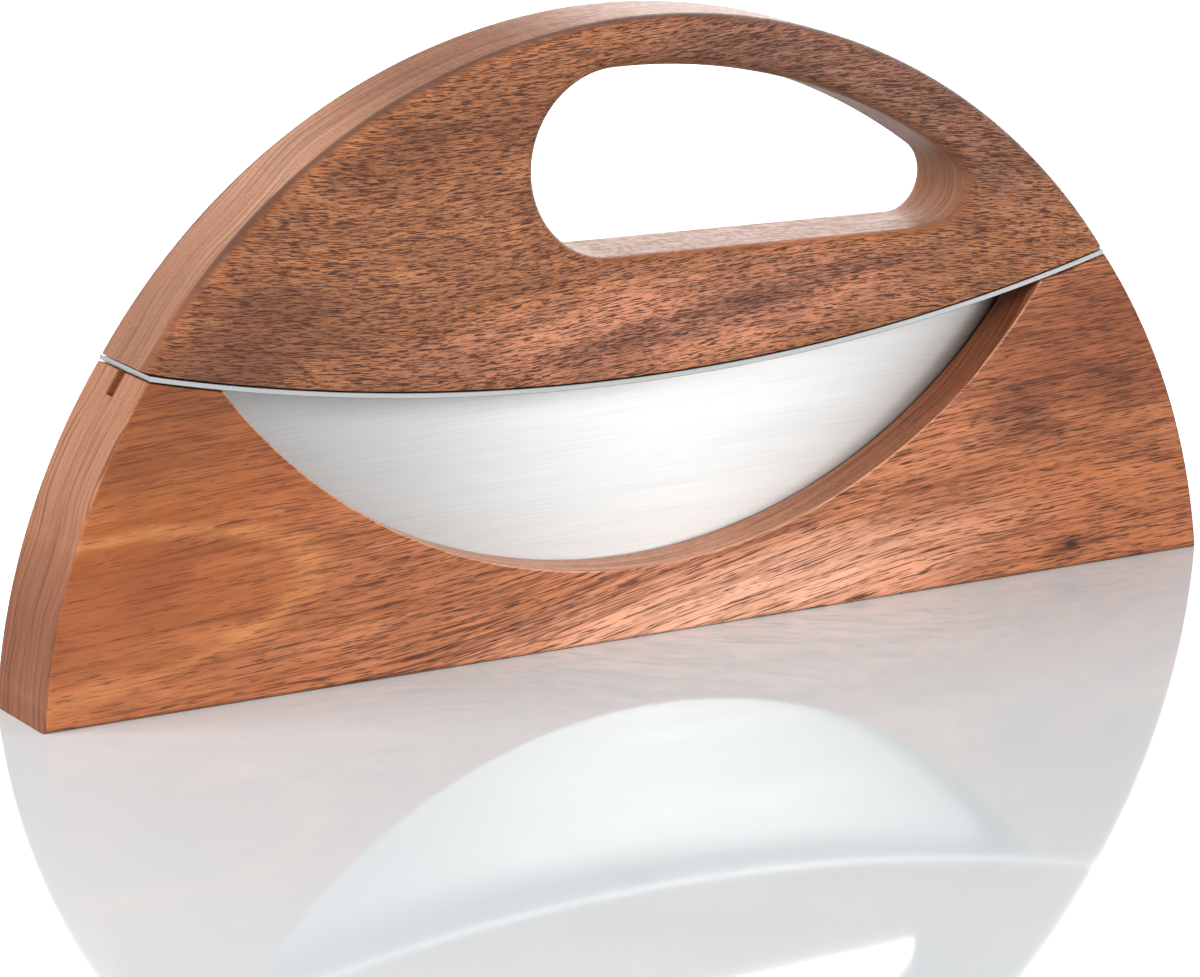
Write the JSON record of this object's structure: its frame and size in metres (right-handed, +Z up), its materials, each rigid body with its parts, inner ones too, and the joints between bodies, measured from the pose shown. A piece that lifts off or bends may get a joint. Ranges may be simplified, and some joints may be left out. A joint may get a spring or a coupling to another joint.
{
  "type": "mezzaluna",
  "caption": "Rocking herb knife: a crescent steel blade on a bolster plate under an arched wooden handle with a hand hole, kept in a slotted wooden stand with a window.",
  "frame": {"origin": "middle of the stand's underside, on the table", "axes": "+X along the blade towards the hand hole's narrow end, +Y from the front face to the back face, +Z up"},
  "size_m": [0.28, 0.024, 0.1322],
  "materials": {
    "stand_acacia": "oiled, satin, orange brown with long grain",
    "handle_acacia": "oiled, satin, mid brown with short dark pores",
    "bolster_steel": "satin, bright cut edges",
    "brushed_steel": "brushed along the blade",
    "screw_steel": "plain stainless"
  },
  "bodies": {
    "stand": {"stand": "stand_acacia"},
    "knife": {"handle": "handle_acacia", "bolster_plate": "bolster_steel", "blade": "brushed_steel", "plate_screw_left_front": "screw_steel", "plate_screw_left_back": "screw_steel", "plate_screw_middle_front": "screw_steel", "plate_screw_middle_back": "screw_steel", "plate_screw_right_front": "screw_steel", "plate_screw_right_back": "screw_steel"}
  },
  "joints": [
    {"name": "knife_lift", "type": "slide", "parent": "stand", "child": "knife", "axis": [0, 0, 1], "range_m": [0, 0.07]}
  ]
}
